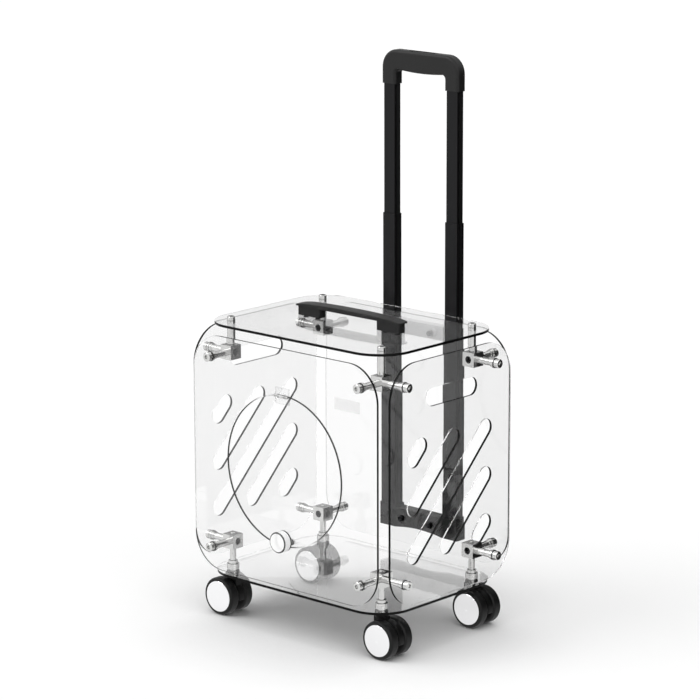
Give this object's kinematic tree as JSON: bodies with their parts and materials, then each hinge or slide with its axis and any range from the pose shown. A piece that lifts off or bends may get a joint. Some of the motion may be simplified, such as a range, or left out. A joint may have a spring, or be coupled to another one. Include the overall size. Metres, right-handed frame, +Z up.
{
  "type": "wheeled pet carrier",
  "caption": "Wheeled pet carrier: clear panel cabin with round hinged door, air slots, carry handle, sliding trolley handle and swivel casters.",
  "frame": {"origin": "on the floor, under the middle of the overall box", "axes": "+Z up, -Y out through the round door, +X to the right as seen from in front of the door"},
  "size_m": [0.414, 0.34, 0.857],
  "materials": {
    "clear_acrylic": "clear cast acrylic sheet, polished",
    "polished_metal": "polished plate",
    "hub_chrome": "plated disc",
    "steel": "zinc plated",
    "knob_plastic": "glossy",
    "hinge_plastic": "glossy",
    "plate_film": "satin film",
    "black_plastic": "fine grain",
    "grey_plastic": "smoky, satin",
    "button_plastic": "fine grain",
    "caster_plastic": "satin",
    "wheel_rubber": "smooth tread",
    "black_anodised": "satin black anodised"
  },
  "bodies": {
    "root": {"front_panel": "clear_acrylic", "rear_panel": "clear_acrylic", "left_panel": "clear_acrylic", "right_panel": "clear_acrylic", "top_panel": "clear_acrylic", "bottom_panel": "clear_acrylic", "upper_corner_blocks": "polished_metal", "lower_corner_blocks": "polished_metal", "wall_posts": "polished_metal", "rise_posts": "polished_metal", "cap_screws": "polished_metal", "plug_screws": "polished_metal", "panel_screws": "steel", "caster_stems": "steel", "hinge_frame_leaf": "hinge_plastic", "hinge_pin": "polished_metal", "blank_plate": "plate_film", "carry_bar": "black_plastic", "carry_foot_left": "black_plastic", "carry_foot_right": "black_plastic", "trolley_base": "black_plastic", "trolley_crossbar": "grey_plastic", "outer_tube_left": "black_anodised", "outer_tube_right": "black_anodised"},
    "door": {"door_panel": "clear_acrylic", "hinge_door_leaf": "hinge_plastic"},
    "latch": {"latch_knob": "knob_plastic", "latch_cam": "knob_plastic"},
    "trolley_middle": {"middle_tube_left": "black_anodised", "middle_tube_right": "black_anodised"},
    "trolley_inner": {"inner_tube_left": "black_anodised", "inner_tube_right": "black_anodised", "trolley_grip": "black_plastic"},
    "button": {"release_button": "button_plastic", "push_rods": "steel"},
    "caster_front_left": {"caster_hood_front_left": "caster_plastic", "caster_axle_front_left": "steel"},
    "wheel_front_left_front": {"wheel_front_left_front": "wheel_rubber", "hub_cap_front_left_front": "hub_chrome"},
    "wheel_front_left_back": {"wheel_front_left_back": "wheel_rubber", "hub_cap_front_left_back": "hub_chrome"},
    "caster_front_right": {"caster_hood_front_right": "caster_plastic", "caster_axle_front_right": "steel"},
    "wheel_front_right_front": {"wheel_front_right_front": "wheel_rubber", "hub_cap_front_right_front": "hub_chrome"},
    "wheel_front_right_back": {"wheel_front_right_back": "wheel_rubber", "hub_cap_front_right_back": "hub_chrome"},
    "caster_rear_left": {"caster_hood_rear_left": "caster_plastic", "caster_axle_rear_left": "steel"},
    "wheel_rear_left_front": {"wheel_rear_left_front": "wheel_rubber", "hub_cap_rear_left_front": "hub_chrome"},
    "wheel_rear_left_back": {"wheel_rear_left_back": "wheel_rubber", "hub_cap_rear_left_back": "hub_chrome"},
    "caster_rear_right": {"caster_hood_rear_right": "caster_plastic", "caster_axle_rear_right": "steel"},
    "wheel_rear_right_front": {"wheel_rear_right_front": "wheel_rubber", "hub_cap_rear_right_front": "hub_chrome"},
    "wheel_rear_right_back": {"wheel_rear_right_back": "wheel_rubber", "hub_cap_rear_right_back": "hub_chrome"}
  },
  "joints": [
    {"name": "door_hinge", "type": "hinge", "parent": "root", "child": "door", "pos_m": [0, -0.1583, 0.3791], "axis": [-1, 0, 0], "range_deg": [0, 110]},
    {"name": "latch_turn", "type": "hinge", "parent": "door", "child": "latch", "pos_m": [0, -0.155, 0.1565], "axis": [0, 1, 0], "range_deg": [0, 90]},
    {"name": "trolley_middle_slide", "type": "slide", "parent": "root", "child": "trolley_middle", "axis": [0, 0, 1], "range_m": [-0.16, 0]},
    {"name": "trolley_inner_slide", "type": "slide", "parent": "trolley_middle", "child": "trolley_inner", "axis": [0, 0, 1], "range_m": [-0.196, 0]},
    {"name": "release_button_press", "type": "slide", "parent": "trolley_inner", "child": "button", "axis": [0, 0, -1], "range_m": [0, 0.004], "stiffness_N_per_m": 1500, "springref_m": -0.0015},
    {"name": "caster_front_left_swivel", "type": "hinge", "parent": "root", "child": "caster_front_left", "pos_m": [-0.152, -0.107, 0.06], "axis": [0, 0, 1], "continuous": true},
    {"name": "wheel_front_left_front_spin", "type": "hinge", "parent": "caster_front_left", "child": "wheel_front_left_front", "pos_m": [-0.164, -0.107, 0.0295], "axis": [0, 1, 0], "continuous": true},
    {"name": "wheel_front_left_back_spin", "type": "hinge", "parent": "caster_front_left", "child": "wheel_front_left_back", "pos_m": [-0.164, -0.107, 0.0295], "axis": [0, 1, 0], "continuous": true},
    {"name": "caster_front_right_swivel", "type": "hinge", "parent": "root", "child": "caster_front_right", "pos_m": [0.152, -0.107, 0.06], "axis": [0, 0, 1], "continuous": true},
    {"name": "wheel_front_right_front_spin", "type": "hinge", "parent": "caster_front_right", "child": "wheel_front_right_front", "pos_m": [0.164, -0.107, 0.0295], "axis": [0, 1, 0], "continuous": true},
    {"name": "wheel_front_right_back_spin", "type": "hinge", "parent": "caster_front_right", "child": "wheel_front_right_back", "pos_m": [0.164, -0.107, 0.0295], "axis": [0, 1, 0], "continuous": true},
    {"name": "caster_rear_left_swivel", "type": "hinge", "parent": "root", "child": "caster_rear_left", "pos_m": [-0.152, 0.097, 0.06], "axis": [0, 0, 1], "continuous": true},
    {"name": "wheel_rear_left_front_spin", "type": "hinge", "parent": "caster_rear_left", "child": "wheel_rear_left_front", "pos_m": [-0.164, 0.097, 0.0295], "axis": [0, 1, 0], "continuous": true},
    {"name": "wheel_rear_left_back_spin", "type": "hinge", "parent": "caster_rear_left", "child": "wheel_rear_left_back", "pos_m": [-0.164, 0.097, 0.0295], "axis": [0, 1, 0], "continuous": true},
    {"name": "caster_rear_right_swivel", "type": "hinge", "parent": "root", "child": "caster_rear_right", "pos_m": [0.152, 0.097, 0.06], "axis": [0, 0, 1], "continuous": true},
    {"name": "wheel_rear_right_front_spin", "type": "hinge", "parent": "caster_rear_right", "child": "wheel_rear_right_front", "pos_m": [0.164, 0.097, 0.0295], "axis": [0, 1, 0], "continuous": true},
    {"name": "wheel_rear_right_back_spin", "type": "hinge", "parent": "caster_rear_right", "child": "wheel_rear_right_back", "pos_m": [0.164, 0.097, 0.0295], "axis": [0, 1, 0], "continuous": true}
  ]
}
